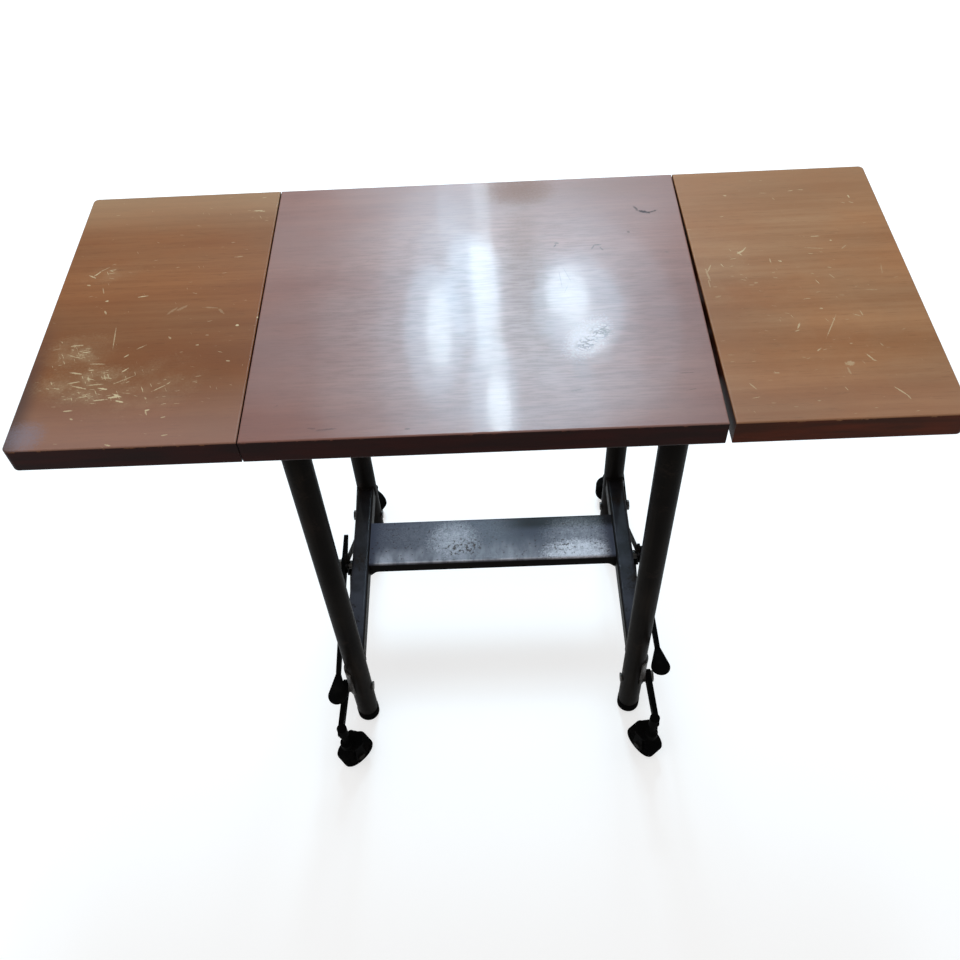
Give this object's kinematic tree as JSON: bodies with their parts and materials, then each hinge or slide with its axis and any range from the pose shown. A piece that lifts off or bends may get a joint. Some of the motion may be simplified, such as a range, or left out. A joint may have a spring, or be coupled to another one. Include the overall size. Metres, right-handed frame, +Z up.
{
  "type": "typewriter table",
  "caption": "Rolling typewriter table with a mahogany drop-leaf top on steel tube legs, foot pedals and swivel casters",
  "frame": {"origin": "On the floor, under the middle of the table at rest.", "axes": "+X runs to the right along the long top, +Y runs to the rear, +Z is up."},
  "size_m": [0.901, 0.4904, 0.667],
  "materials": {
    "varnished_mahogany": "glossy varnish over fine straight grain, small dark stains",
    "worn_mahogany": "worn satin varnish over mahogany, scratched",
    "painted_steel": "dark grey-brown enamel with a soft sheen, rubbed at the edges",
    "worn_shelf_steel": "blue-grey enamel worn pale, with rust specks",
    "black_enamel": "black enamel, chipped at the edges",
    "plated_hardware": "dull zinc plate",
    "black_rubber": "matte black rubber, dusty"
  },
  "bodies": {
    "frame": {"caster_pivot_bolts": "plated_hardware", "center_panel": "varnished_mahogany", "flange_screws": "plated_hardware", "front_left_caster_bracket": "painted_steel", "front_left_leg": "painted_steel", "front_right_caster_bracket": "painted_steel", "front_right_leg": "painted_steel", "leaf_support_pins": "plated_hardware", "left_hinge_fixed_plates": "plated_hardware", "left_hinge_pins": "plated_hardware", "left_side_rail": "painted_steel", "left_support_bracket": "painted_steel", "leg_flanges": "painted_steel", "panel_hinge_screws": "plated_hardware", "rear_left_caster_bracket": "painted_steel", "rear_left_leg": "painted_steel", "rear_right_caster_bracket": "painted_steel", "rear_right_leg": "painted_steel", "right_hinge_fixed_plates": "plated_hardware", "right_hinge_pins": "plated_hardware", "right_side_rail": "painted_steel", "right_support_bracket": "painted_steel", "rubber_feet": "black_rubber", "shelf": "worn_shelf_steel"},
    "left_leaf": {"left_leaf": "worn_mahogany", "left_hinge_leaf_plates": "plated_hardware", "left_leaf_hinge_screws": "plated_hardware"},
    "left_support": {"left_leaf_support": "painted_steel"},
    "right_leaf": {"right_leaf": "worn_mahogany", "right_hinge_leaf_plates": "plated_hardware", "right_leaf_hinge_screws": "plated_hardware"},
    "right_support": {"right_leaf_support": "painted_steel"},
    "pedal_shaft": {"pedal_cross_shaft": "plated_hardware", "shaft_spacers": "plated_hardware", "pedal_shaft_nuts": "plated_hardware", "left_pedal_lever": "black_enamel", "left_crank": "painted_steel", "right_pedal_lever": "black_enamel", "right_crank": "painted_steel"},
    "front_left_link": {"front_left_link": "painted_steel"},
    "front_left_arm": {"front_left_caster_arm": "black_enamel"},
    "front_left_swivel": {"front_left_caster_fork": "black_enamel", "front_left_caster_axle": "plated_hardware"},
    "front_left_wheel": {"front_left_caster_wheel": "black_rubber"},
    "front_right_link": {"front_right_link": "painted_steel"},
    "front_right_arm": {"front_right_caster_arm": "black_enamel"},
    "front_right_swivel": {"front_right_caster_fork": "black_enamel", "front_right_caster_axle": "plated_hardware"},
    "front_right_wheel": {"front_right_caster_wheel": "black_rubber"},
    "rear_left_link": {"rear_left_link": "painted_steel"},
    "rear_left_arm": {"rear_left_caster_arm": "black_enamel"},
    "rear_left_swivel": {"rear_left_caster_fork": "black_enamel", "rear_left_caster_axle": "plated_hardware"},
    "rear_left_wheel": {"rear_left_caster_wheel": "black_rubber"},
    "rear_right_link": {"rear_right_link": "painted_steel"},
    "rear_right_arm": {"rear_right_caster_arm": "black_enamel"},
    "rear_right_swivel": {"rear_right_caster_fork": "black_enamel", "rear_right_caster_axle": "plated_hardware"},
    "rear_right_wheel": {"rear_right_caster_wheel": "black_rubber"}
  },
  "joints": [
    {"name": "left_leaf_drop", "type": "hinge", "parent": "frame", "child": "left_leaf", "pos_m": [-0.229, 0, 0.6327], "axis": [0, -1, 0], "range_deg": [0, 90]},
    {"name": "left_support_fold", "type": "hinge", "parent": "frame", "child": "left_support", "pos_m": [-0.215, 0, 0.6187], "axis": [0, -1, 0], "range_deg": [0, 90]},
    {"name": "right_leaf_drop", "type": "hinge", "parent": "frame", "child": "right_leaf", "pos_m": [0.2315, 0, 0.6327], "axis": [0, 1, 0], "range_deg": [0, 90]},
    {"name": "right_support_fold", "type": "hinge", "parent": "frame", "child": "right_support", "pos_m": [0.2175, 0, 0.6187], "axis": [0, 1, 0], "range_deg": [0, 90]},
    {"name": "pedal_press", "type": "hinge", "parent": "frame", "child": "pedal_shaft", "pos_m": [0, 0.007, 0.156], "axis": [1, 0, 0], "range_deg": [0, 9]},
    {"name": "front_left_arm_turn", "type": "hinge", "parent": "frame", "child": "front_left_arm", "pos_m": [-0.2139, -0.1515, 0.083], "axis": [1, 0, 0], "range_deg": [0, 8.61]},
    {"name": "front_left_link_turn", "type": "hinge", "parent": "pedal_shaft", "child": "front_left_link", "pos_m": [-0.2085, 0.007, 0.14], "axis": [1, 0, 0], "range_deg": [-10.03, 0]},
    {"name": "front_left_swivel_turn", "type": "hinge", "parent": "front_left_arm", "child": "front_left_swivel", "pos_m": [-0.2115, -0.227, 0.0995], "axis": [0, 0, 1], "continuous": true},
    {"name": "front_left_wheel_roll", "type": "hinge", "parent": "front_left_swivel", "child": "front_left_wheel", "pos_m": [-0.20481, -0.22098, 0.027], "axis": [-0.6691, 0.7431, 0], "continuous": true},
    {"name": "front_right_arm_turn", "type": "hinge", "parent": "frame", "child": "front_right_arm", "pos_m": [0.2139, -0.1515, 0.083], "axis": [1, 0, 0], "range_deg": [0, 8.61]},
    {"name": "front_right_link_turn", "type": "hinge", "parent": "pedal_shaft", "child": "front_right_link", "pos_m": [0.2085, 0.007, 0.14], "axis": [1, 0, 0], "range_deg": [-10.03, 0]},
    {"name": "front_right_swivel_turn", "type": "hinge", "parent": "front_right_arm", "child": "front_right_swivel", "pos_m": [0.2115, -0.227, 0.0995], "axis": [0, 0, 1], "continuous": true},
    {"name": "front_right_wheel_roll", "type": "hinge", "parent": "front_right_swivel", "child": "front_right_wheel", "pos_m": [0.20596, -0.21991, 0.027], "axis": [-0.788, -0.6157, 0], "continuous": true},
    {"name": "rear_left_arm_turn", "type": "hinge", "parent": "frame", "child": "rear_left_arm", "pos_m": [-0.2139, 0.1515, 0.083], "axis": [1, 0, 0], "range_deg": [-8.24, 0]},
    {"name": "rear_left_link_turn", "type": "hinge", "parent": "pedal_shaft", "child": "rear_left_link", "pos_m": [-0.2085, 0.007, 0.172], "axis": [1, 0, 0], "range_deg": [-9.08, 0]},
    {"name": "rear_left_swivel_turn", "type": "hinge", "parent": "rear_left_arm", "child": "rear_left_swivel", "pos_m": [-0.2115, 0.227, 0.0995], "axis": [0, 0, 1], "continuous": true},
    {"name": "rear_left_wheel_roll", "type": "hinge", "parent": "rear_left_swivel", "child": "rear_left_wheel", "pos_m": [-0.20371, 0.2225, 0.027], "axis": [0.5, 0.866, 0], "continuous": true},
    {"name": "rear_right_arm_turn", "type": "hinge", "parent": "frame", "child": "rear_right_arm", "pos_m": [0.2139, 0.1515, 0.083], "axis": [1, 0, 0], "range_deg": [-8.24, 0]},
    {"name": "rear_right_link_turn", "type": "hinge", "parent": "pedal_shaft", "child": "rear_right_link", "pos_m": [0.2085, 0.007, 0.172], "axis": [1, 0, 0], "range_deg": [-9.08, 0]},
    {"name": "rear_right_swivel_turn", "type": "hinge", "parent": "rear_right_arm", "child": "rear_right_swivel", "pos_m": [0.2115, 0.227, 0.0995], "axis": [0, 0, 1], "continuous": true},
    {"name": "rear_right_wheel_roll", "type": "hinge", "parent": "rear_right_swivel", "child": "rear_right_wheel", "pos_m": [0.20261, 0.22841, 0.027], "axis": [-0.1564, -0.9877, 0], "continuous": true}
  ],
  "couplings": [
    {"joint": "left_support_fold", "follows": "left_leaf_drop", "ratio": 1},
    {"joint": "right_support_fold", "follows": "right_leaf_drop", "ratio": 1},
    {"joint": "front_left_arm_turn", "follows": "pedal_press", "ratio": 0.8896},
    {"joint": "front_left_link_turn", "follows": "pedal_press", "ratio": -1.0479},
    {"joint": "front_right_arm_turn", "follows": "pedal_press", "ratio": 0.8896},
    {"joint": "front_right_link_turn", "follows": "pedal_press", "ratio": -1.0479},
    {"joint": "rear_left_arm_turn", "follows": "pedal_press", "ratio": -0.8491},
    {"joint": "rear_left_link_turn", "follows": "pedal_press", "ratio": -0.9419},
    {"joint": "rear_right_arm_turn", "follows": "pedal_press", "ratio": -0.8491},
    {"joint": "rear_right_link_turn", "follows": "pedal_press", "ratio": -0.9419}
  ]
}
